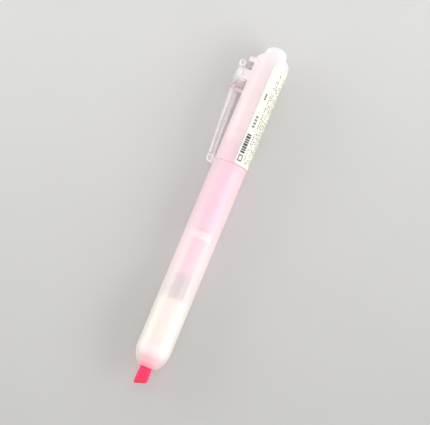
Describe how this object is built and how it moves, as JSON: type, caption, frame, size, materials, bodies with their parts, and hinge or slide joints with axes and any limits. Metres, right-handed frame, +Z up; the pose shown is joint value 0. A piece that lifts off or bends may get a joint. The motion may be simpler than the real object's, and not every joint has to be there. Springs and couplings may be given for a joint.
{
  "type": "retractable highlighter",
  "caption": "Retractable highlighter with a chisel nib, frosted barrel, clear sprung clip and end knock; the refill slides back behind a nose seal.",
  "frame": {"origin": "centre of the bounding box's base, on the surface the pen lies on", "axes": "+X runs along the pen from the nib to the knock button; +Z is up; the clip is on the +Y side and hangs down to the surface"},
  "size_m": [0.138, 0.0187, 0.013],
  "materials": {
    "frosted_shell": "frosted translucent moulded plastic",
    "clear_plastic": "clear polished moulded plastic",
    "white_plastic": "milky satin moulded plastic",
    "cream_plastic": "cream satin moulded plastic",
    "tinted_plastic": "translucent pink moulded plastic",
    "soft_seal": "soft white elastomer",
    "dark_rubber": "grey elastomer",
    "steel": "drawn bright wire",
    "label_paper": null,
    "ink_fibre": "ink-soaked polyester fibre",
    "nib_felt": "ink-soaked bonded felt"
  },
  "bodies": {
    "barrel": {"front_barrel": "frosted_shell", "rear_barrel": "frosted_shell", "label": "label_paper", "seal_chamber": "cream_plastic", "tip_seal": "soft_seal", "wiper_seal": "dark_rubber", "clip_pin": "steel", "return_spring": "steel", "clip_spring": "steel"},
    "refill": {"nib": "nib_felt", "nib_holder": "tinted_plastic", "feed_wick": "ink_fibre", "refill_neck": "tinted_plastic", "reservoir_collar": "white_plastic", "reservoir_case": "tinted_plastic", "ink_core": "ink_fibre", "refill_plug": "white_plastic"},
    "knock": {"knock_button": "white_plastic", "knock_slider": "tinted_plastic"},
    "clip": {"clip": "clear_plastic", "latch_leaf": "white_plastic"}
  },
  "joints": [
    {"name": "knock_slide", "type": "slide", "parent": "barrel", "child": "knock", "axis": [1, 0, 0], "range_m": [0, 0.0125], "deforming": ["latch_leaf"]},
    {"name": "refill_slide", "type": "slide", "parent": "barrel", "child": "refill", "axis": [1, 0, 0], "range_m": [0, 0.0125], "deforming": ["return_spring"]},
    {"name": "clip_rock", "type": "hinge", "parent": "barrel", "child": "clip", "pos_m": [0.0555, 0.00593, 0.00311], "axis": [0, -0.3665, -0.9304], "range_deg": [0, 8], "stiffness_Nm_per_rad": 0.3, "deforming": ["clip_spring"]}
  ],
  "couplings": [
    {"joint": "refill_slide", "follows": "knock_slide", "ratio": 1}
  ]
}
